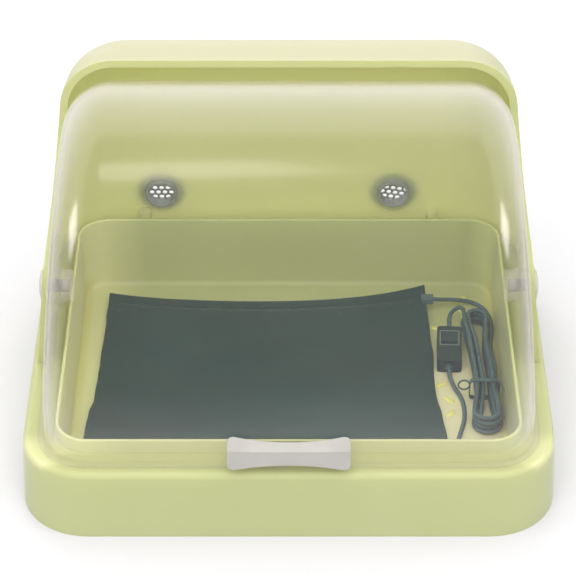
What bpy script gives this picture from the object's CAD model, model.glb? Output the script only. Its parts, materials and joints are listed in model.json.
"""Looks of the chick brooder box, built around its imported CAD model."""
import json
import math

import bmesh
import bpy
from mathutils import Matrix, Vector, noise


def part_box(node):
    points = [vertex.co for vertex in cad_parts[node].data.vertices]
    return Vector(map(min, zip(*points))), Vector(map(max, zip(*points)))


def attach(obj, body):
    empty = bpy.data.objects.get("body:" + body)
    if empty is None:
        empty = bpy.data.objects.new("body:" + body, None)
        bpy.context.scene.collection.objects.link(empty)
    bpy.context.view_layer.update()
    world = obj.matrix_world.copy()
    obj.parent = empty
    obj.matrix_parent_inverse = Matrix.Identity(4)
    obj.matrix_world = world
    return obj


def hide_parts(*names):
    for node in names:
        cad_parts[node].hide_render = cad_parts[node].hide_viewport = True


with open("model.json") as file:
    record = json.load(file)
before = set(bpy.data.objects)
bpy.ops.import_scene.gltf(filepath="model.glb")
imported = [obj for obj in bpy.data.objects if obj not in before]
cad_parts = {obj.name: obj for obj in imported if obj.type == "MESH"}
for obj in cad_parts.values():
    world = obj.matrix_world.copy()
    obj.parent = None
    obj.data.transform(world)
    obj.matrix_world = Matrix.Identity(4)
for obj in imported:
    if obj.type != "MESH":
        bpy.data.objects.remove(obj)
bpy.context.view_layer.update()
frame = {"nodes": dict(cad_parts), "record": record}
nodes = frame["nodes"]
node_slots = {row["node"]: row["material_slot"] for row in frame["record"]["subparts"]}
MM = 0.001


# Small helpers
def link(name, data):
    obj = bpy.data.objects.new(name, data)
    bpy.context.scene.collection.objects.link(obj)
    return obj


def mesh_from(name, verts, faces):
    mesh = bpy.data.meshes.new(name)
    mesh.from_pydata([tuple(v) for v in verts], [], faces)
    mesh.validate()
    mesh.update()
    return mesh


def mesh_of(name, made):
    """Mesh of a finished bmesh, which is freed."""
    mesh = bpy.data.meshes.new(name)
    made.to_mesh(mesh)
    made.free()
    return mesh


def evaluated(obj):
    """Mesh of an object with its modifiers, or its curve's bevel, applied."""
    depsgraph = bpy.context.evaluated_depsgraph_get()
    return bpy.data.meshes.new_from_object(obj.evaluated_get(depsgraph))


def smooth(obj, degrees):
    """Smooth shading that keeps edges sharper than the angle."""
    for polygon in obj.data.polygons:
        polygon.use_smooth = True
    obj.data.set_sharp_from_angle(angle=math.radians(degrees))


def round_edges(obj, width, segments, degrees):
    """Bevel, in millimetres, on edges sharper than the angle."""
    bevel = obj.modifiers.new("edge", "BEVEL")
    bevel.width = width * MM
    bevel.segments = segments
    bevel.limit_method = "ANGLE"
    bevel.angle_limit = math.radians(degrees)
    bevel.harden_normals = True


def give(obj, material):
    obj.data.materials.clear()
    obj.data.materials.append(material)


def dress(obj, material, body, replaced=(), degrees=None):
    """Material, shading, body, slot and replaced nodes of a piece that is made here."""
    give(obj, material)
    if degrees:
        smooth(obj, degrees)
    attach(obj, body)
    if replaced:
        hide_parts(*replaced)


def clamp(u):
    return max(0.0, min(1.0, u))


def ease(u):
    return u * u * (3 - 2 * u)


def bell(distance, reach):
    return math.exp(-(distance / reach) ** 2)


def ripple(x, y, z):
    return noise.noise(Vector((x, y, z)))


# Camera, fitted to the photo
CAMERA_PLACE, CAMERA_TILT = (-0.0006, -1.550, 1.230), math.radians(54.0)
CAMERA_LENS, CAMERA_SENSOR, CAMERA_CLIP = 154.25, 36.0, (0.05, 20.0)


def make_camera():
    data = bpy.data.cameras.new("camera")
    data.sensor_fit = "HORIZONTAL"
    data.sensor_width = CAMERA_SENSOR
    data.lens = CAMERA_LENS
    data.clip_start, data.clip_end = CAMERA_CLIP
    camera = link("camera", data)
    camera.location = CAMERA_PLACE
    camera.rotation_euler = (CAMERA_TILT, 0.0, 0.0)
    bpy.context.scene.camera = camera


make_camera()

# Node trees
NOISE_LOW, NOISE_HIGH = 0.3, 0.7
MIX_UNDER, MIX_OVER, MIX_COLOUR = 6, 7, 2  # the Mix node's sockets for colours


class Tree:
    """A node tree with short ways to add nodes. A value is a number, a colour or a socket."""

    def __init__(self, tree):
        self.tree = tree
        self.tree.nodes.clear()

    def node(self, kind, **settings):
        made = self.tree.nodes.new(kind)
        for key, value in settings.items():
            setattr(made, key, value)
        return made

    def put(self, value, socket):
        if isinstance(value, bpy.types.NodeSocket):
            self.tree.links.new(value, socket)
        elif isinstance(value, tuple):
            socket.default_value = (*value, 1.0)
        else:
            socket.default_value = value

    def math(self, operation, a, b=0.0):
        made = self.node("ShaderNodeMath", operation=operation)
        self.put(a, made.inputs[0])
        self.put(b, made.inputs[1])
        return made.outputs[0]

    def times(self, first, *others):
        for other in others:
            first = self.math("MULTIPLY", first, other)
        return first

    def range(self, value, low, high, start=0.0, end=1.0, kind="LINEAR"):
        """A number that goes from low to high while the value goes from start to end."""
        made = self.node("ShaderNodeMapRange", interpolation_type=kind)
        keys = ("Value", "From Min", "From Max", "To Min", "To Max")
        for key, number in zip(keys, (value, start, end, low, high)):
            self.put(number, made.inputs[key])
        return made.outputs["Result"]

    def rise(self, value, start, end):
        """0 before the start, 1 past the end."""
        return self.range(value, 0.0, 1.0, start, end)

    def axes(self, vector):
        parts = self.node("ShaderNodeSeparateXYZ")
        self.put(vector, parts.inputs[0])
        return [parts.outputs[axis] for axis in "XYZ"]

    def emission(self, strength):
        made = self.node("ShaderNodeEmission")
        self.put(strength, made.inputs["Strength"])
        return made.outputs[0]

    def mix(self, fac, first, second):
        """Shader that goes from the first to the second with the factor."""
        made = self.node("ShaderNodeMixShader")
        for socket, value in zip(made.inputs, (fac, first, second)):
            self.put(value, socket)
        return made.outputs[0]


class Look(Tree):
    """A material with a Principled shader."""

    def __init__(self, name):
        self.material = bpy.data.materials.new(name)
        self.material.use_nodes = True
        super().__init__(self.material.node_tree)
        self.out = self.node("ShaderNodeOutputMaterial")
        self.shader = self.node("ShaderNodeBsdfPrincipled")
        self.show(self.shader.outputs[0])
        self.coords = self.node("ShaderNodeTexCoord").outputs["Object"]

    def show(self, shader):
        self.put(shader, self.out.inputs["Surface"])

    def set(self, **values):
        for key, value in values.items():
            self.put(value, self.shader.inputs[key.replace("_", " ")])

    def noise(self, scale, detail=3.0, rough=0.5, coords=None):
        made = self.node("ShaderNodeTexNoise")
        for key, value in (("Scale", scale), ("Detail", detail), ("Roughness", rough)):
            made.inputs[key].default_value = value
        self.put(coords or self.coords, made.inputs["Vector"])
        return made.outputs["Fac"]

    def stretched(self, *scale):
        made = self.node("ShaderNodeMapping")
        made.inputs["Scale"].default_value = scale
        self.put(self.coords, made.inputs["Vector"])
        return made.outputs["Vector"]

    def vary(self, fac, low, high):
        """A number that follows a noise."""
        return self.range(fac, low, high, NOISE_LOW, NOISE_HIGH)

    def ramp(self, fac, dark, light, start=NOISE_LOW, end=NOISE_HIGH):
        """A colour that follows a noise."""
        made = self.node("ShaderNodeValToRGB")
        for element, place, colour in zip(made.color_ramp.elements, (start, end), (dark, light)):
            element.position = place
            element.color = (*colour, 1.0)
        self.put(fac, made.inputs["Fac"])
        return made.outputs["Color"]

    def blend(self, fac, under, over):
        """A colour that goes from one to another with the factor."""
        made = self.node("ShaderNodeMix", data_type="RGBA")
        self.put(fac, made.inputs["Factor"])
        self.put(under, made.inputs[MIX_UNDER])
        self.put(over, made.inputs[MIX_OVER])
        return made.outputs[MIX_COLOUR]

    def bump(self, height, strength, distance):
        made = self.node("ShaderNodeBump")
        made.inputs["Strength"].default_value = strength
        made.inputs["Distance"].default_value = distance
        self.put(height, made.inputs["Height"])
        self.set(Normal=made.outputs["Normal"])
        return made.outputs["Normal"]


# Pale green body
def body_look(name, pale, deep, glow, share, shade=None, rough=(0.30, 0.36)):
    """Moulded plastic with cloudy colour, a soft gloss and light that comes through it."""
    look = Look(name)
    cloud = look.noise(7.0, 2.0)
    flow = look.noise(1.0, 2.0, coords=look.stretched(16.0, 16.0, 2.0))
    tone = look.math("ADD", look.times(cloud, 0.5), look.times(flow, 0.5))
    colour, light = look.ramp(tone, deep, pale), glow
    roughness = look.vary(look.noise(9.0, 0.0), *rough)
    if shade:
        colour, light, roughness = shade(look, colour, light, roughness)
    look.set(Base_Color=colour, Roughness=roughness, IOR=1.48)
    look.set(Coat_Weight=0.8, Coat_Roughness=0.28, Sheen_Weight=0.30, Sheen_Roughness=0.35)
    normal = look.bump(look.noise(350.0, 2.0), 0.03, 0.0002)
    through = look.node("ShaderNodeBsdfTranslucent")
    look.put(light, through.inputs["Color"])
    look.put(normal, through.inputs["Normal"])
    look.show(look.mix(share, look.shader.outputs[0], through.outputs[0]))
    return look.material


# Places on the tray, in metres, between which a tint sets in, and the tints
TUB_HALF_X, TUB_HALF_Y, TUB_POLISH = 0.1752, 0.1462, 0.16
LEDGE_REAR, LEDGE_FRONT, LEDGE_FOOT = (-0.120, -0.135), (-0.160, -0.156), (0.050, 0.053)
LEFT_SIDE, RIGHT_SIDE, RIGHT_SIDE_SHARE = (-0.120, -0.155), (0.150, 0.170), 0.9
BARE_LEFT, BARE_REAR, BARE_TOP = (0.085, 0.120), (0.085, 0.020), (0.0090, 0.0066)
FILLET_SIDE, FILLET_TOP = (0.1620, 0.1665), (0.020, 0.012)
LEDGE_TINT = (0.79, 0.81, 0.47)
LEFT_TINT, RIGHT_TINT = (0.94, 0.96, 0.57), (0.80, 0.88, 0.47)
BARE_TINT, FILLET_TINT = (0.95, 0.91, 0.66), (0.86, 0.84, 0.36)


def tray_shade(look, colour, light, roughness):
    """Pale front ledge, and a polished tub with pale sides, bright fillets and a beige floor front right."""
    x, y, z = look.axes(look.coords)
    across, along = look.math("ABSOLUTE", x), look.math("ABSOLUTE", y)
    inside = look.times(
        look.math("LESS_THAN", across, TUB_HALF_X), look.math("LESS_THAN", along, TUB_HALF_Y),
    )
    ledge = look.times(look.rise(y, *LEDGE_FRONT), look.rise(y, *LEDGE_REAR), look.rise(z, *LEDGE_FOOT))
    left = look.times(inside, look.rise(x, *LEFT_SIDE))
    right = look.times(inside, look.rise(x, *RIGHT_SIDE), RIGHT_SIDE_SHARE)
    bare = look.times(inside, look.rise(z, *BARE_TOP), look.rise(x, *BARE_LEFT), look.rise(y, *BARE_REAR))
    fillet = look.times(inside, look.rise(z, *FILLET_TOP), look.rise(across, *FILLET_SIDE))
    for mask, tint in (
        (ledge, LEDGE_TINT), (left, LEFT_TINT), (right, RIGHT_TINT), (bare, BARE_TINT), (fillet, FILLET_TINT),
    ):
        colour = look.blend(mask, colour, tint)
    return colour, light, look.math("SUBTRACT", roughness, look.times(inside, TUB_POLISH))


# Places on the shell, in metres, and the tints there of its surface and of light through it
VENT_XS, VENT_Z, RING_SPAN, RING_SHARE = (-0.106, 0.087), 0.088, (0.022, 0.013), 0.50
RING_TINT, RING_GLOW = (0.40, 0.46, 0.38), (0.38, 0.45, 0.34)
POST_X, POST_HALF, POST_TOP, POST_REAR = 0.119, 0.0055, 0.0715, 0.1595
POST_TINT, POST_GLOW = (0.70, 0.73, 0.41), (0.85, 0.84, 0.50)
HOOD_FOOT, HOOD_UPWARD, HOOD_SHARE = 0.2, (0.3, 0.9), 0.8
HOOD_TINT, HOOD_GLOW = (0.605, 0.588, 0.472), (0.78, 0.74, 0.58)


def shell_shade(look, colour, light, roughness):
    """Grey rings where the vents' flanges show through, paler screw posts and a warmer hood top."""
    x, y, z = look.axes(look.coords)
    flat = look.stretched(1.0, 0.0, 1.0)
    zones = []
    for vent_x in VENT_XS:
        apart = look.node("ShaderNodeVectorMath", operation="DISTANCE")
        look.put(flat, apart.inputs[0])
        apart.inputs[1].default_value = (vent_x, 0.0, VENT_Z)
        ring = look.times(look.rise(apart.outputs["Value"], *RING_SPAN), RING_SHARE)
        zones.append((ring, RING_TINT, RING_GLOW))
    beside = look.math("ABSOLUTE", look.math("SUBTRACT", look.math("ABSOLUTE", x), POST_X))
    post = look.times(
        look.math("LESS_THAN", beside, POST_HALF),
        look.math("LESS_THAN", z, POST_TOP),
        look.math("LESS_THAN", y, POST_REAR),
    )
    zones.append((post, POST_TINT, POST_GLOW))
    upward = look.axes(look.node("ShaderNodeTexCoord").outputs["Normal"])[2]
    hood = look.times(look.math("GREATER_THAN", z, HOOD_FOOT), look.rise(upward, *HOOD_UPWARD), HOOD_SHARE)
    zones.append((hood, HOOD_TINT, HOOD_GLOW))
    for mask, tint, glow in zones:
        colour = look.blend(mask, colour, tint)
        light = look.blend(mask, light, glow)
    return colour, light, roughness


# Clear cover: shares of haze and of gloss, face on and towards glancing views
SHEET_TINT, MIRROR_TINT, MIRROR_ROUGH = (0.985, 0.985, 0.975), (1.0, 0.95, 0.97), 0.16
HAZE_LOW, HAZE_HIGH, EDGE_HAZE, EDGE_POWER = 0.010, 0.022, 0.45, 3.5
FACE_GLOSS, GLANCE_GLOSS, GLANCE_POWER = 0.038, 0.40, 2.8


def clear_look():
    """Clear sheet with a faint haze, and a gloss that grows towards glancing views."""
    look = Look("clear_sheet")
    look.set(
        IOR=1.45,
        Base_Color=look.ramp(look.noise(5.0), (0.74, 0.73, 0.70), (0.78, 0.77, 0.74)),
        Roughness=look.vary(look.noise(25.0, 4.0), 0.05, 0.09),
    )
    look.bump(look.noise(6.0, 2.0), 0.05, 0.002)
    clear = look.node("ShaderNodeBsdfTransparent")
    look.put(SHEET_TINT, clear.inputs["Color"])
    mirror = look.node("ShaderNodeBsdfGlossy")
    look.put(MIRROR_TINT, mirror.inputs["Color"])
    look.put(MIRROR_ROUGH, mirror.inputs["Roughness"])
    weight = look.node("ShaderNodeLayerWeight")
    weight.inputs["Blend"].default_value = 0.5
    facing = weight.outputs["Facing"]
    edge = look.times(look.math("POWER", facing, EDGE_POWER), EDGE_HAZE)
    haze = look.math("ADD", look.vary(look.noise(4.0, 2.0), HAZE_LOW, HAZE_HIGH), edge)
    glance = look.times(look.math("POWER", facing, GLANCE_POWER), GLANCE_GLOSS)
    gloss = look.math("ADD", glance, FACE_GLOSS)
    milky = look.mix(haze, clear.outputs[0], look.shader.outputs[0])
    look.show(look.mix(gloss, milky, mirror.outputs[0]))
    return look.material


# Other materials
def plastic_look(name, light, dark, rough, grain=0.25, clear=0.0):
    """Moulded plastic with fine grain and slight mottling; a milky one is partly clear."""
    look = Look(name)
    look.set(
        Base_Color=look.ramp(look.noise(40.0, 4.0), dark, light),
        Roughness=look.vary(look.noise(120.0, 3.0), rough - 0.05, rough + 0.07),
    )
    look.bump(look.noise(500.0, 3.0), grain, 0.0002)
    if clear:
        through = look.node("ShaderNodeBsdfTransparent")
        look.show(look.mix(clear, look.shader.outputs[0], through.outputs[0]))
    return look.material


def metal_look(name, light, dark, rough):
    """Plated metal with fine drawn lines."""
    look = Look(name)
    lines = look.noise(400.0, 3.0, coords=look.stretched(1.0, 1.0, 12.0))
    look.set(
        Metallic=1.0,
        Base_Color=look.ramp(lines, dark, light),
        Roughness=look.vary(lines, rough - 0.05, rough + 0.08),
    )
    look.bump(lines, 0.15, 0.0001)
    return look.material


def rubber_look(name, light, dark):
    """Cord jacket: satin, with faint marks."""
    look = Look(name)
    look.set(
        Base_Color=look.ramp(look.noise(70.0, 4.0), dark, light),
        Roughness=look.vary(look.noise(200.0, 3.0), 0.26, 0.40),
    )
    look.bump(look.noise(700.0, 2.0), 0.12, 0.0001)
    return look.material


THREAD_SCALE, THREAD_SHARE, PATCH_SHARE = 330.0, 0.35, 0.65
CLOTH_DARK, CLOTH_PALE, LINT_TINT = (0.001, 0.020, 0.023), (0.008, 0.040, 0.043), (0.085, 0.115, 0.105)
LINT_FRONT, LINT_REAR = (0.084, 0.097), (0.110, 0.101)  # metres along Y, at the rear hem


def fabric_look():
    """Dark slate cloth: a fine plain weave with faded patches, and lint that gathers at the rear hem."""
    look = Look("pad_cloth")
    weave = []
    for direction in ("X", "Y"):
        wave = look.node("ShaderNodeTexWave", bands_direction=direction)
        for key, value in (("Scale", THREAD_SCALE), ("Distortion", 1.2), ("Detail", 1.0)):
            wave.inputs[key].default_value = value
        look.put(look.coords, wave.inputs["Vector"])
        weave.append(wave.outputs["Fac"])
    threads = look.times(*weave)
    patches = look.noise(9.0, 5.0)
    tone = look.math("ADD", look.times(threads, THREAD_SHARE), look.times(patches, PATCH_SHARE))
    cloth = look.ramp(tone, CLOTH_DARK, CLOTH_PALE, 0.25, 0.6)
    y = look.axes(look.coords)[1]
    hem = look.times(look.rise(y, *LINT_FRONT), look.rise(y, *LINT_REAR))
    specks = look.rise(look.noise(420.0, 2.0, 0.7), 0.60, 0.70)
    stray = look.range(look.noise(260.0, 3.0, 0.7), 0.0, 0.6, 0.70, 0.78)
    lint = look.math("MAXIMUM", stray, look.times(specks, hem))
    look.set(
        Base_Color=look.blend(lint, cloth, LINT_TINT),
        Roughness=look.vary(patches, 0.78, 0.92),
        Sheen_Weight=0.25,
        Sheen_Roughness=0.5,
        Sheen_Tint=(0.70, 0.78, 0.76),
        Specular_IOR_Level=0.25,
    )
    look.bump(threads, 0.35, 0.0004)
    return look.material


GREENS = ((0.612, 0.656, 0.358), (0.577, 0.628, 0.328), (0.77, 0.76, 0.43), 0.42)
YELLOWS = ((0.90, 0.88, 0.34), (0.86, 0.84, 0.30), (0.95, 0.92, 0.30), 0.30)
GREEN = body_look("pale_green_plastic", *GREENS)
TRAY = body_look("pale_green_tray", *GREENS, shade=tray_shade)
SHELL = body_look("pale_green_shell", *GREENS, shade=shell_shade)
TREAD = body_look("tread_yellow", *YELLOWS, rough=(0.10, 0.16))
CLEAR = clear_look()
WHITE = plastic_look("handle_white", (0.42, 0.41, 0.387), (0.39, 0.38, 0.358), 0.38)
CAP = plastic_look("pivot_white", (0.66, 0.63, 0.58), (0.62, 0.59, 0.54), 0.35, grain=0.2, clear=0.50)
NUT = plastic_look("nut_milky", (0.72, 0.68, 0.63), (0.66, 0.62, 0.57), 0.35, grain=0.2, clear=0.76)
GREY = plastic_look("vent_grey", (0.26, 0.28, 0.26), (0.21, 0.23, 0.21), 0.50)
CLOTH = fabric_look()
FILM = plastic_look("film_amber", (0.36, 0.16, 0.04), (0.30, 0.12, 0.03), 0.30)
THREAD = plastic_look("hem_thread", (0.085, 0.105, 0.100), (0.055, 0.070, 0.068), 0.80)
INK = plastic_look("outline_ink", (0.30, 0.33, 0.34), (0.24, 0.27, 0.28), 0.60)
CORD = rubber_look("cord_jacket", (0.066, 0.118, 0.146), (0.044, 0.086, 0.110))
CASE = plastic_look("controller_black", (0.012, 0.036, 0.054), (0.008, 0.027, 0.042), 0.45)
KEY = plastic_look("button_black", (0.016, 0.041, 0.060), (0.011, 0.031, 0.047), 0.42)
BOARD = plastic_look("board_green", (0.02, 0.14, 0.05), (0.015, 0.10, 0.04), 0.40)
STEEL = metal_look("screw_steel", (0.62, 0.62, 0.63), (0.50, 0.50, 0.51), 0.30)
PLATE = metal_look("plug_nickel", (0.74, 0.74, 0.73), (0.62, 0.62, 0.62), 0.18)
TONGUE = plastic_look("tongue_white", (0.78, 0.78, 0.75), (0.72, 0.72, 0.69), 0.45)

SLOT_LOOKS = {
    "body_plastic": GREEN,
    "cover_clear": CLEAR,
    "handle_white": WHITE,
    "pivot_white": CAP,
    "vent_grey": GREY,
    "pad_fabric": CLOTH,
    "film": FILM,
    "cord_rubber": CORD,
    "controller_plastic": CASE,
    "button_plastic": KEY,
    "board": BOARD,
    "screw_steel": STEEL,
    "plug_metal": PLATE,
    "tongue_white": TONGUE,
}
NODE_LOOKS = {"base_tray": TRAY, "rear_shell": SHELL, "pivot_nut_left": NUT, "pivot_nut_right": NUT}
BEVELS = {
    "vent_plug_left": 0.4,
    "vent_plug_right": 0.4,
    "pivot_cap_left": 0.4,
    "pivot_cap_right": 0.4,
    "pivot_nut_left": 0.5,
    "pivot_nut_right": 0.5,
    "controller_base": 0.5,
    "controller_top": 0.7,
    "controller_button": 0.4,
    "plug_grip": 0.8,
    "pad_strain_relief": 0.8,
    "twist_tie": 0.2,
}
for name, obj in nodes.items():
    give(obj, NODE_LOOKS.get(name, SLOT_LOOKS[node_slots[name]]))
    smooth(obj, degrees=35)
    if name in BEVELS:
        round_edges(obj, width=BEVELS[name], segments=2, degrees=40)


# Lead, with the places that the CAD has, in millimetres
FLOOR_Z = 6.0
CORD_D = 3.6
CORD_R, CORD_DETAIL, ROUTE_STEPS = CORD_D / 2, 3, 6
TIE_STRAP, TIE_GAP = 0.9, 0.15
HANK_Z = FLOOR_Z + TIE_STRAP + TIE_GAP + CORD_R
HANK_X, HANK_FRONT, HANK_REAR, HANK_WAIST = 155.0, -50.0, 75.0, -14.0
HANK_CORE, HANK_PITCH, HANK_STEP = 2.4, 4.6, 4.3
HANK_FRONT_BULGE, HANK_REAR_BULGE = 3.0, 2.8
HANK_LAYERS, LAYER_TURNS, HANK_TURNS, HANK_RINGS = 4, 1.5, 5.75, 48
RUN_SHARE, CLIMB_SHARE = 0.25, 0.15
# How far the strands lie pinched beside the tie, and how they stray from the CAD's even ones
PINCH_FRONT_SHARE, PINCH_REAR_SHARE = 0.15, 0.62
WANDER, WANDER_RISE, WANDER_PER_TURN, WANDER_PER_MM, WANDER_START = 0.5, 0.35, 3.1, 0.03, 8
WANDER_SEED, RISE_SEED = 4.0, Vector((9, 9, 9))
DRIFT, DRIFT_WAVES = 1.3, 1.5


def hank_bulge(y):
    """Half-width that the hank gains towards its two loops."""
    if y < HANK_WAIST:
        u, pinch, bulge = (HANK_WAIST - y) / (HANK_WAIST - HANK_FRONT), PINCH_FRONT_SHARE, HANK_FRONT_BULGE
    else:
        u, pinch, bulge = (y - HANK_WAIST) / (HANK_REAR - HANK_WAIST), PINCH_REAR_SHARE, HANK_REAR_BULGE
    return bulge * ease(clamp((u - pinch) / (1 - pinch)))


def hank_wander(t, y):
    """Small offset that makes the strands lie unevenly."""
    own = Vector((t * WANDER_PER_TURN, y * WANDER_PER_MM, WANDER_SEED))
    drift = DRIFT * math.sin(math.pi * (y - HANK_FRONT) / (HANK_REAR - HANK_FRONT) * DRIFT_WAVES)
    return Vector((drift + WANDER * noise.noise(own), 0, WANDER_RISE * noise.noise(own + RISE_SEED)))


def hank_place(t):
    """Point of the hank's centre line after t turns."""
    layer = min(HANK_LAYERS - 1, math.floor(t / LAYER_TURNS))
    u = t / LAYER_TURNS - layer
    out_turns = LAYER_TURNS * (1 - u if layer % 2 == 0 else u)
    climb = (t - layer * LAYER_TURNS) / CLIMB_SHARE
    rise = 0 if layer == 0 else layer - 1 + ease(min(1, climb))
    phase = t - math.floor(t)
    half = phase if phase < 0.5 else phase - 0.5
    along = min(1, half / RUN_SHARE)
    turn = math.pi * max(0, half - RUN_SHARE) / (0.5 - RUN_SHARE)
    side = 1 if phase < 0.5 else -1
    end_y, from_y = (HANK_FRONT, HANK_REAR) if side > 0 else (HANK_REAR, HANK_FRONT)
    y = from_y + (end_y - from_y) * along
    out = HANK_CORE + HANK_PITCH * out_turns + hank_bulge(y)
    even = Vector((
        HANK_X + side * out * math.cos(turn), y - side * out * math.sin(turn), HANK_Z + HANK_STEP * rise,
    ))
    return even + hank_wander(t, y) * min(1, WANDER_START * t, WANDER_START * (HANK_TURNS - t))


def curve_through(points):
    """Smooth points through a route, with even steps in each stretch."""
    found = []
    last = len(points) - 1
    for i in range(last):
        a, b, c, d = (points[max(0, min(last, i + k))] for k in (-1, 0, 1, 2))
        for k in range(ROUTE_STEPS):
            u = k / ROUTE_STEPS
            straight, bend, twist = c - a, 2 * a - 5 * b + 4 * c - d, 3 * b - a - 3 * c + d
            found.append(0.5 * (2 * b + straight * u + bend * u * u + twist * u ** 3))
    return found + [points[last]]


def tube(name, points, radius, detail):
    """Round curve with closed ends through points in millimetres."""
    data = bpy.data.curves.new(name, "CURVE")
    data.dimensions = "3D"
    data.bevel_depth = radius * MM
    data.bevel_resolution = detail
    data.use_fill_caps = True
    spline = data.splines.new("POLY")
    spline.points.add(len(points) - 1)
    for place, point in zip(spline.points, points):
        place.co = (*(point * MM), 1.0)
    spline.use_smooth = True
    return link(name, data)


relief_low, relief_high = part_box("pad_strain_relief")
relief_middle = (relief_low + relief_high) / 2
relief_end = Vector((relief_high.x, relief_middle.y, relief_middle.z)) / MM
CTL_X, CTL_Y, CTL_Z, CTL_TURN, CTL_REACH = 130.3, 42.0, 12.0, math.radians(-3), 29.0


def gland_tip(end):
    reach = end * CTL_REACH
    return Vector((CTL_X - reach * math.sin(CTL_TURN), CTL_Y + reach * math.cos(CTL_TURN), CTL_Z))


def route(start, points, *end):
    return [start, *(Vector(p) for p in points), *end]


straight_out = Vector((0, CORD_D, 0))
pad_route = route(relief_end, (
    (128, 106, 15), (138, 109, 12.6), (148, 110, 10.4), (156, 107.5, 9.2), (162.5, 100, 8.9), (166, 89.5, HANK_Z),
), hank_place(0) + straight_out)
feed_route = route(hank_place(HANK_TURNS) + straight_out, (
    (143.4, 84, 21.4), (141.2, 88.6, 19.4), (137.6, 90.4, 16.6), (134.2, 88.4, 14), (132.6, 83.5, 12.4),
    (132.2, 78, CTL_Z),
), gland_tip(1))
tail_route = route(gland_tip(-1), (
    (129.2, 6, 11), (132.2, -4, 8.8), (136.2, -14, 7.9), (138.4, -26, 7.8), (138, -42, 7.8), (134.5, -58, 7.8),
    (129.5, -75, 7.8), (122.5, -92, 7.8), (113, -104, 8.2), (100, -110.5, 9.4), (84, -112, 10),
))
hank_count = round(HANK_TURNS * HANK_RINGS)
hank_points = [hank_place(HANK_TURNS * i / hank_count) for i in range(hank_count + 1)]
lead_points = curve_through(pad_route) + hank_points + curve_through(feed_route)
tail_points = curve_through(tail_route)
lead = tube("lead_cord", lead_points, CORD_R, CORD_DETAIL)
tail = tube("plug_cord", tail_points, CORD_R, CORD_DETAIL)
dress(lead, CORD, "base", ("pad_cord", "cord_hank", "feed_cord"))
dress(tail, CORD, "base", ("tail_cord",))

# Loose end of the twist tie, at the right of the hank
TIE_R, TIE_DETAIL = 0.6, 2
tie_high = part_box("twist_tie")[1] / MM
TIE_STEPS = ((-4.5, 0, -0.7), (-1.5, -3, 0.8), (1.0, -8, -0.4), (2.0, -13, -3.0))


def make_tie_end():
    corner = Vector((tie_high.x, HANK_WAIST, tie_high.z))
    curve = tube("tie_tail", curve_through([corner + Vector(step) for step in TIE_STEPS]), TIE_R, TIE_DETAIL)
    mesh = evaluated(curve)
    bpy.data.objects.remove(curve)
    dress(link("tie_end", mesh), CORD, "base", degrees=60)


make_tie_end()

# Warming pad: cloth sleeve with sewn hems over a thin filling
PAD_W, PAD_D, PAD_T, PAD_SHIFT, PAD_FRONT = 284.0, 200.0, 5.0, 18.0, -82.0
PAD_REAR_SHARE, PAD_SAG_SHARE, PAD_CURL, PAD_LEFT_SHARE = 0.925, 0.03, 13.0, 0.35
PAD_RIM_SHARE, PAD_ROUND, PAD_DROP = 0.2, 0.45, 0.4
PAD_COLS, PAD_ROWS = 220, 150
HEM, SIDE_HEM = 12.0, 7.0
# Sideways wander of the left and right edges; places are shares of the depth
KINK_LEFT, KINK_LEFT_START, KINK_LEFT_RUN = 3.6, 0.24, 0.07
KINK_RIGHT, KINK_RIGHT_AT, KINK_RIGHT_RUN = 3.0, 0.38, 0.16
FRAY_LEFT, FRAY_LEFT_WAVES, FRAY_RIGHT, FRAY_RIGHT_WAVES = 0.8, 14.0, 0.6, 12.0
# Heights and reaches of the seams, puckers, waves and creases
SEAM, SEAM_REACH, SIDE_SEAM, SIDE_SEAM_REACH = 1.1, 1.5, 0.45, 1.2
PUCKER, PUCKER_REACH, SEAM_FADE = 0.45, 6.0, 1.4
WAVE, CREASE = 1.1, 0.5
# Ripples for each millimetre across and along the pad
PUCKER_X, PUCKER_Y, WAVE_X, WAVE_Y, CREASE_X, CREASE_Y = 0.22, 0.05, 0.020, 0.028, 0.060, 0.022


def pad_kink(s, t):
    """Sideways wander of the cloth's left and right edges."""
    left = KINK_LEFT * ease(clamp((t - KINK_LEFT_START) / KINK_LEFT_RUN)) * (1 - t)
    left += FRAY_LEFT * ripple(3.0, t * FRAY_LEFT_WAVES, 0.5)
    right = KINK_RIGHT * bell(t - KINK_RIGHT_AT, KINK_RIGHT_RUN)
    right += FRAY_RIGHT * ripple(7.0, t * FRAY_RIGHT_WAVES, 0.5)
    return left * (1 - s) ** 6 - right * s ** 6


def pad_edge(s):
    return min(1.0, max(0.0, math.sin(math.pi * s)) ** PAD_ROUND)


def pad_place(s, t, face):
    """Point of the upper (1) or lower (-1) face at shares of the width and depth."""
    x = -PAD_SHIFT + (s - 0.5) * PAD_W * (1 - (1 - PAD_REAR_SHARE) * t) + pad_kink(s, t)
    y = PAD_FRONT + PAD_D * (t - PAD_SAG_SHARE * t * math.sin(math.pi * s))
    lift = PAD_CURL * (s ** 6 + PAD_LEFT_SHARE * (1 - s) ** 8) * t ** 6
    fill = PAD_RIM_SHARE + (1 - PAD_RIM_SHARE) * pad_edge(s) * pad_edge(t)
    return Vector((x, y, FLOOR_Z + lift + PAD_T * (1 + face * fill) / 2))


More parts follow.
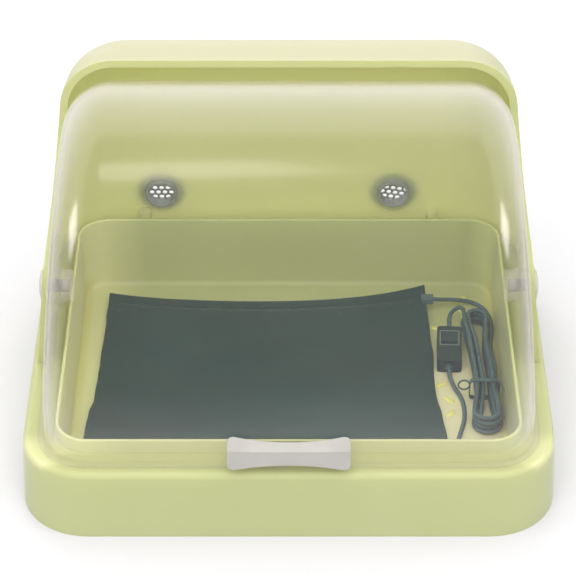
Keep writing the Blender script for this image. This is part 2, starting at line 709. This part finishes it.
def pad_detail(s, t):
    """Height that wrinkles and hems add to the upper face."""
    across, along = (s - 0.5) * PAD_W, t * PAD_D
    inside = pad_edge(s) * pad_edge(t)
    folds = WAVE * ripple(across * WAVE_X, along * WAVE_Y, 1.7)
    folds += CREASE * ripple(across * CREASE_X, along * CREASE_Y, 5.1)
    seam = 0.0
    for edge in (along - HEM, PAD_D - HEM - along):
        seam -= SEAM * bell(edge, SEAM_REACH)
        seam += PUCKER * ripple(across * PUCKER_X, edge * PUCKER_Y, 9.0) * bell(edge, PUCKER_REACH)
    for edge in (across + PAD_W / 2 - SIDE_HEM, PAD_W / 2 - SIDE_HEM - across):
        seam -= SIDE_SEAM * bell(edge, SIDE_SEAM_REACH)
    return folds * inside - PAD_DROP + seam * min(1.0, inside * SEAM_FADE)


def make_pad():
    n = PAD_COLS + 1
    verts = []
    for face in (1, -1):
        for j in range(PAD_ROWS + 1):
            for i in range(n):
                s, t = i / PAD_COLS, j / PAD_ROWS
                place = pad_place(s, t, face)
                if face > 0:
                    place.z += pad_detail(s, t)
                verts.append(place * MM)
    count = n * (PAD_ROWS + 1)
    faces = []
    for j in range(PAD_ROWS):
        for i in range(PAD_COLS):
            a = j * n + i
            faces.append((a, a + 1, a + n + 1, a + n))
            faces.append((count + a, count + a + n, count + a + n + 1, count + a + 1))
    rim = list(range(PAD_COLS)) + [j * n + PAD_COLS for j in range(PAD_ROWS)]
    rim += [PAD_ROWS * n + i for i in range(PAD_COLS, 0, -1)] + [j * n for j in range(PAD_ROWS, 0, -1)]
    for a, b in zip(rim, rim[1:] + rim[:1]):
        faces.append((a, count + a, count + b, b))
    pad = link("warming_pad", mesh_from("warming_pad", verts, faces))
    dress(pad, CLOTH, "base", ("heat_pad",), degrees=80)


make_pad()

STITCH_PITCH, STITCH_L, STITCH_W, STITCH_RISE = 3.4, 2.3, 0.55, 0.15
STITCH_SKIP, STITCH_SWAY, STITCH_AHEAD = 3, 0.12, 0.004


def make_stitches():
    """Thread along both hems, a row of short raised stitches."""
    made = bmesh.new()
    count = int(PAD_W / STITCH_PITCH)
    size = Matrix.Diagonal((STITCH_L / 2 * MM, STITCH_W / 2 * MM, STITCH_W / 2 * MM, 1.0))
    for t in (HEM / PAD_D, 1 - HEM / PAD_D):
        for i in range(STITCH_SKIP, count - STITCH_SKIP):
            s = (i + 0.5) / count
            place = pad_place(s, t, 1)
            place.z += pad_detail(s, t) + STITCH_RISE
            ahead = pad_place(s + STITCH_AHEAD, t, 1) - pad_place(s - STITCH_AHEAD, t, 1)
            turn = math.atan2(ahead.y, ahead.x) + STITCH_SWAY * ripple(i * 0.7, t, 2.0)
            thread = bmesh.ops.create_uvsphere(made, u_segments=8, v_segments=6, radius=1.0)
            move = Matrix.Translation(place * MM) @ Matrix.Rotation(turn, 4, "Z") @ size
            bmesh.ops.transform(made, matrix=move, verts=thread["verts"])
    stitches = link("hem_stitches", mesh_of("hem_stitches", made))
    dress(stitches, THREAD, "base", degrees=80)


make_stitches()

# Outline round the controller's button
LINE_HALF_X, LINE_HALF_Y, LINE_W, LINE_RISE = 7.6 * MM, 9.4 * MM, 0.55 * MM, 0.12 * MM


def make_outline():
    low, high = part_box("controller_button")
    middle = (low + high) / 2
    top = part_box("controller_top")[1].z
    made = bmesh.new()
    half = LINE_W / 2
    bars = [(0, side * LINE_HALF_Y, LINE_HALF_X + half, half) for side in (-1, 1)]
    bars += [(side * LINE_HALF_X, 0, half, LINE_HALF_Y - half) for side in (-1, 1)]
    for x, y, reach_x, reach_y in bars:
        bar = bmesh.ops.create_cube(made, size=2.0)
        size = Matrix.Diagonal((reach_x, reach_y, LINE_RISE, 1.0))
        bmesh.ops.transform(made, matrix=Matrix.Translation((x, y, 0)) @ size, verts=bar["verts"])
    place = Matrix.Translation((middle.x, middle.y, top)) @ Matrix.Rotation(CTL_TURN, 4, "Z")
    bmesh.ops.transform(made, matrix=place, verts=made.verts)
    outline = link("button_outline", mesh_of("button_outline", made))
    dress(outline, INK, "base")


make_outline()

# Cover, as a finer sheet of the CAD form
PIVOT_Y, PIVOT_Z = -12.0, 115.0
COVER_R, COVER_HALF, COVER_EDGE, COVER_WALL = 157.0, 179.5, 34.0, 2.2
COVER_SLOPE = math.tan(math.radians(4.3))
COVER_FOOT, COVER_END = 58.3, math.radians(131)
FLANGE_W, FLANGE_T, FLANGE_GAP, EAR_Y = 4.0, 2.2, 1.0, -36.0
HUB_IN, HUB_OUT, HUB_R, BORE_R = 174.0, 183.05, 14.0, 5.06
DRUM_STEPS, EDGE_STEPS, DISC_STEPS = 192, 16, 96
FAR, OVERRUN = 800.0, 0.01


def fix_normals(obj):
    made = bmesh.new()
    made.from_mesh(obj.data)
    bmesh.ops.recalc_face_normals(made, faces=made.faces)
    made.to_mesh(obj.data)
    made.free()


def solid(name, verts, faces):
    obj = link(name, mesh_from(name, [Vector(v) * MM for v in verts], faces))
    fix_normals(obj)
    return obj


def drum(name, grow):
    """Solid drum about the pivots, with leaning sides and round edges, grown all round."""
    angles = [math.radians(90 * j / EDGE_STEPS) for j in range(EDGE_STEPS + 1)]
    rings = [(-1, angle) for angle in reversed(angles)] + [(1, angle) for angle in angles]
    edge = COVER_EDGE + grow
    verts = []
    for side, angle in rings:
        r = COVER_R - COVER_EDGE + edge * math.cos(angle)
        x = COVER_HALF - COVER_EDGE + edge * math.sin(angle)
        for i in range(DRUM_STEPS):
            a = 2 * math.pi * (i + 0.5) / DRUM_STEPS
            lean = r * math.sin(a) * COVER_SLOPE
            verts.append((side * (x - lean), PIVOT_Y - r * math.cos(a), PIVOT_Z + r * math.sin(a)))
    faces = [tuple(range(DRUM_STEPS))]
    for j in range(len(rings) - 1):
        for i in range(DRUM_STEPS):
            a, b = j * DRUM_STEPS + i, j * DRUM_STEPS + (i + 1) % DRUM_STEPS
            faces.append((a, a + DRUM_STEPS, b + DRUM_STEPS, b))
    faces.append(tuple((len(rings) - 1) * DRUM_STEPS + i for i in range(DRUM_STEPS - 1, -1, -1)))
    return solid(name, verts, faces)


def prism(name, outline, x0, x1):
    """Solid between two X planes with a side outline in (y, z)."""
    n = len(outline)
    verts = [(x, y, z) for x in (x0, x1) for y, z in outline]
    faces = [tuple(range(n)), tuple(range(2 * n - 1, n - 1, -1))]
    faces += [(i, i + n, (i + 1) % n + n, (i + 1) % n) for i in range(n)]
    return solid(name, verts, faces)


def disc(r):
    angles = [2 * math.pi * i / DISC_STEPS for i in range(DISC_STEPS)]
    return [(PIVOT_Y + r * math.cos(a), PIVOT_Z + r * math.sin(a)) for a in angles]


def boolean(target, other, operation):
    """Join, cut or keep the common part, and remove the other object."""
    modifier = target.modifiers.new(operation, "BOOLEAN")
    modifier.operation = operation
    modifier.solver = "EXACT"
    modifier.object = other
    mesh = evaluated(target)
    target.modifiers.clear()
    target.data = mesh
    bpy.data.objects.remove(other)


def make_cover():
    sheet = drum("cover_sheet", 0.0)
    sector = [
        (PIVOT_Y + OVERRUN, PIVOT_Z),
        (PIVOT_Y, COVER_FOOT),
        (PIVOT_Y - FAR, COVER_FOOT),
        (PIVOT_Y - FAR, FAR),
        (PIVOT_Y - FAR * math.cos(COVER_END), PIVOT_Z + FAR * math.sin(COVER_END)),
    ]
    boolean(sheet, prism("sector", sector, -FAR, FAR), "INTERSECT")
    flange = drum("flange", FLANGE_W)
    rear, top = EAR_Y - FLANGE_GAP, COVER_FOOT + FLANGE_T
    strip = [(rear, COVER_FOOT), (rear, top), (-FAR, top), (-FAR, COVER_FOOT)]
    boolean(flange, prism("strip", strip, -FAR, FAR), "INTERSECT")
    boolean(sheet, flange, "UNION")
    boolean(sheet, drum("inner", -COVER_WALL), "DIFFERENCE")
    for side in (-1, 1):
        ends = sorted((side * HUB_IN, side * HUB_OUT))
        boolean(sheet, prism("hub", disc(HUB_R), *ends), "UNION")
    boolean(sheet, prism("bore", disc(BORE_R), -FAR, FAR), "DIFFERENCE")
    fix_normals(sheet)
    dress(sheet, CLEAR, "cover", ("cover",), degrees=30)


make_cover()

# Handle, with the upper edge drawn up to two horns
HANDLE_FRONT, HANDLE_KNEE, HANDLE_HALF, HANDLE_CORNER = -172.0, 81.0, 45.0, 5.0
HANDLE_SLOPE = 7.0 / 11.5
ROOF_MIDDLE, ROOF_END, ROOF_CUT = 88.0, 92.5, 89.58
HORN_MIDDLE, HORN_END = 86.2, 92.5
KNEE_RISE, KNEE_REACH, LEAST_RISE, LEAST_DEPTH, ROOF_EDGE = 1.4, 6.0, 1.0, 0.3, 0.5
HANDLE_CUTS = (27, 31, 34, 37, 40, 41.5, 43, 44)


def cover_face(z):
    return PIVOT_Y - math.sqrt(COVER_R ** 2 - (PIVOT_Z - z) ** 2)


def bow(x, middle, end):
    """Upper edge of the handle at x, with round corners."""
    reach = HANDLE_HALF - HANDLE_CORNER
    over = max(0.0, abs(x) - reach)
    corner = HANDLE_CORNER - math.sqrt(max(0.0, HANDLE_CORNER ** 2 - over ** 2))
    return middle + (end - middle) * (min(abs(x), reach) / reach) ** 2 - corner


def horned(place):
    """Where a point of the CAD handle goes when the upper edge is drawn up."""
    x, y, z = place
    knee_rise = KNEE_RISE * (x / HANDLE_HALF) ** 2
    if z <= HANDLE_KNEE:
        share = max(0.0, (z - HANDLE_KNEE + KNEE_REACH) / KNEE_REACH)
        return Vector((x, y, z + knee_rise * share))
    old_top = min(ROOF_CUT, bow(x, ROOF_MIDDLE, ROOF_END))
    new_top = max(HANDLE_KNEE + LEAST_RISE, bow(x, HORN_MIDDLE, HORN_END))
    share = clamp((z - HANDLE_KNEE) / max(LEAST_RISE, old_top - HANDLE_KNEE))
    knee = HANDLE_KNEE + knee_rise
    new_z = knee + share * (new_top - knee)
    old_slope, old_face = HANDLE_FRONT + HANDLE_SLOPE * (z - HANDLE_KNEE), cover_face(z)
    deep = old_face - old_slope > LEAST_DEPTH
    depth = (y - old_slope) / (old_face - old_slope) if deep else 0.5
    new_slope = HANDLE_FRONT + share * (cover_face(new_top) - ROOF_EDGE - HANDLE_FRONT)
    return Vector((x, new_slope + depth * (cover_face(new_z) - new_slope), new_z))


def make_handle():
    made = bmesh.new()
    made.from_mesh(nodes["cover_handle"].data)
    for x in HANDLE_CUTS:
        for side in (-1, 1):
            everything = made.verts[:] + made.edges[:] + made.faces[:]
            bmesh.ops.bisect_plane(made, geom=everything, plane_co=(side * x * MM, 0, 0), plane_no=(1, 0, 0))
    for vert in made.verts:
        vert.co = horned(vert.co / MM) * MM
    handle = link("bow_handle", mesh_of("bow_handle", made))
    dress(handle, WHITE, "cover", ("cover_handle",), degrees=30)
    round_edges(handle, width=1.0, segments=3, degrees=35)


make_handle()

# Raised treads on the tub floor, where pad and lead leave it bare; in millimetres
TREAD_PITCH, TREAD_L, TREAD_W, TREAD_H, TREAD_SUNK = 17.0, 11.5, 4.8, 1.0, 0.3
TREAD_COLS, TREAD_ROWS, TREAD_HALF_X, TREAD_HALF_Y = range(-10, 11), range(-8, 9), 158, 128
PAD_ROOM, PAD_ROOM_SHARE, CORD_ROOM = 7, 0.06, 8
HANK_BOX = (HANK_X - 17, HANK_X + 20, HANK_FRONT - 20, HANK_REAR + 22)
CTL_BOX = (CTL_X - 17, CTL_X + 17, CTL_Y - 36, CTL_Y + 36)
PLUG_BOX = (40, 90, -124, -100)
ODD_TREADS = [(122.5, 3, 35), (122, 78, -20), (142.5, -69, 20)]  # x, y and degrees, beside the lead


def bare(x, y):
    """Whether nothing lies on the tub floor near a place."""
    t = (y - PAD_FRONT) / PAD_D
    if -PAD_ROOM_SHARE < t < 1 + PAD_ROOM_SHARE:
        left, right = (pad_place(s, clamp(t), 1).x for s in (0, 1))
        if left - PAD_ROOM < x < right + PAD_ROOM:
            return False
    for x0, x1, y0, y1 in (HANK_BOX, CTL_BOX, PLUG_BOX):
        if x0 < x < x1 and y0 < y < y1:
            return False
    near = min((Vector((x, y)) - p.xy).length for p in lead_points[::4] + tail_points)
    return near >= CORD_ROOM and abs(x) < TREAD_HALF_X and abs(y) < TREAD_HALF_Y


def make_treads():
    made = bmesh.new()
    spots = [
        ((i + 0.5) * TREAD_PITCH, j * TREAD_PITCH, 45 if (i + j) % 2 else -45)
        for i in TREAD_COLS for j in TREAD_ROWS
    ]
    size = Matrix.Diagonal((TREAD_L / 2 * MM, TREAD_W / 2 * MM, TREAD_H * MM, 1.0))
    for x, y, degrees in [spot for spot in spots if bare(*spot[:2])] + ODD_TREADS:
        bump = bmesh.ops.create_uvsphere(made, u_segments=20, v_segments=10, radius=1.0)
        place = Matrix.Translation(Vector((x, y, FLOOR_Z)) * MM)
        spin = Matrix.Rotation(math.radians(degrees), 4, "Z")
        bmesh.ops.transform(made, matrix=place @ spin @ size, verts=bump["verts"])
    low = [v for v in made.verts if v.co.z < (FLOOR_Z - TREAD_SUNK) * MM]
    bmesh.ops.delete(made, geom=low, context="VERTS")
    treads = link("floor_treads", mesh_of("floor_treads", made))
    dress(treads, TREAD, "base", degrees=60)


make_treads()

# Floor, backdrop and light, in metres
FLOOR_HALF, FLOOR_NEAR, FLOOR_BRIGHT, FLOOR_REAR = 1.0, -0.28, -0.17, 1.5
PAPER_TINT, PAPER_GLOW = (0.56, 0.56, 0.59), 0.03
FILL, GLOSS_ROOM, GLOSS_NEAR = 0.76, 0.30, 0.60
# Directions in which the world's gloss turns from backdrop to room, and to the floor in front
ROOM_ABOVE, ROOM_AHEAD, NEAR_BELOW = (0.74, 0.83), (0.1, -0.4), (-0.35, -0.70)


def make_floor():
    """Pale paper that keeps the shadow; in gloss it is white under the box and greyer in front."""
    corners = [
        (-FLOOR_HALF, FLOOR_NEAR, 0), (FLOOR_HALF, FLOOR_NEAR, 0),
        (FLOOR_HALF, FLOOR_REAR, 0), (-FLOOR_HALF, FLOOR_REAR, 0),
    ]
    floor = link("floor", mesh_from("floor", corners, [(0, 1, 2, 3)]))
    material = bpy.data.materials.new("floor_white")
    material.use_nodes = True
    tree = Tree(material.node_tree)
    path = tree.node("ShaderNodeLightPath").outputs
    seen = tree.math("MAXIMUM", path["Is Camera Ray"], path["Is Transmission Ray"])
    matte = tree.node("ShaderNodeBsdfDiffuse")
    tree.put(PAPER_TINT, matte.inputs["Color"])
    paper = tree.node("ShaderNodeAddShader")
    tree.put(matte.outputs[0], paper.inputs[0])
    tree.put(tree.emission(tree.times(seen, PAPER_GLOW)), paper.inputs[1])
    y = tree.axes(tree.node("ShaderNodeTexCoord").outputs["Object"])[1]
    gloss = tree.emission(tree.range(y, GLOSS_NEAR, 1.0, FLOOR_NEAR, FLOOR_BRIGHT, "SMOOTHSTEP"))
    out = tree.node("ShaderNodeOutputMaterial")
    tree.put(tree.mix(path["Is Glossy Ray"], paper.outputs[0], gloss), out.inputs["Surface"])
    give(floor, material)


def make_world():
    """White where it is seen; in gloss, a white backdrop behind the box and a greyer room elsewhere."""
    world = bpy.data.worlds.new("studio")
    bpy.context.scene.world = world
    world.use_nodes = True
    tree = Tree(world.node_tree)
    y, z = tree.axes(tree.node("ShaderNodeTexCoord").outputs["Generated"])[1:]

    def step(value, start, end):
        return tree.range(value, 0.0, 1.0, start, end, "SMOOTHSTEP")

    room = tree.math("MAXIMUM", step(z, *ROOM_ABOVE), step(y, *ROOM_AHEAD))
    dim = tree.range(step(z, *NEAR_BELOW), GLOSS_ROOM, GLOSS_NEAR)
    path = tree.node("ShaderNodeLightPath").outputs
    lit = tree.range(path["Is Glossy Ray"], FILL, tree.range(room, 1.0, dim))
    seen = tree.math("MAXIMUM", path["Is Camera Ray"], path["Is Transmission Ray"])
    back = tree.node("ShaderNodeBackground")
    tree.put((1.0, 1.0, 1.0), back.inputs["Color"])
    tree.put(tree.range(seen, lit, 1.0), back.inputs["Strength"])
    tree.put(back.outputs[0], tree.node("ShaderNodeOutputWorld").inputs["Surface"])


def area(name, place, target, size_x, size_y, glare, colour, mirrored=False):
    """A soft box; glare is its brightness as seen. A mirrored one shows in gloss alone."""
    data = bpy.data.lights.new(name, "AREA")
    data.shape = "RECTANGLE"
    data.size = size_x
    data.size_y = size_y
    data.energy = glare * math.pi * size_x * size_y
    data.color = colour
    lamp = link(name, data)
    lamp.location = place
    lamp.rotation_mode = "QUATERNION"
    lamp.rotation_quaternion = (Vector(target) - Vector(place)).to_track_quat("-Z", "Y")
    lamp.visible_glossy = mirrored
    lamp.visible_diffuse = not mirrored


WARM, SIDE_WARM, REAR_WARM = (1.0, 0.98, 0.95), (1.0, 0.97, 0.92), (1.0, 0.98, 0.93)
BAND_TINT, STREAK_TINT = (1.0, 0.94, 0.92), (1.0, 0.97, 1.0)
make_floor()
make_world()
area("key", (0.0, -1.0, 1.50), (0.0, 0.0, 0.15), 1.5, 1.0, 4.4, WARM)
area("top", (0.0, 0.0, 1.60), (0.0, 0.0, 0.1), 1.2, 1.2, 2.2, WARM)
area("left", (-1.5, -0.5, 0.9), (0.0, 0.0, 0.15), 0.35, 1.2, 5.0, SIDE_WARM)
area("right", (1.5, -0.5, 0.9), (0.0, 0.0, 0.15), 0.35, 1.2, 5.0, SIDE_WARM)
area("front", (0.0, -1.8, 0.5), (0.0, 0.0, 0.1), 1.5, 0.6, 1.7, WARM)
area("rear", (-0.25, 1.6, 0.6), (0.0, 0.1, 0.15), 1.8, 1.0, 4.8, REAR_WARM)
area("band", (-0.26, 0.525, 2.95), (0.0, 0.0, 0.0), 0.66, 0.50, 2.4, BAND_TINT, mirrored=True)
for side in (-1, 1):
    area("streak", (side * 2.52, -0.1, 1.62), (0.0, 0.0, 0.0), 0.90, 0.80, 7.0, STREAK_TINT, mirrored=True)

bpy.context.scene.view_settings.view_transform = "Standard"
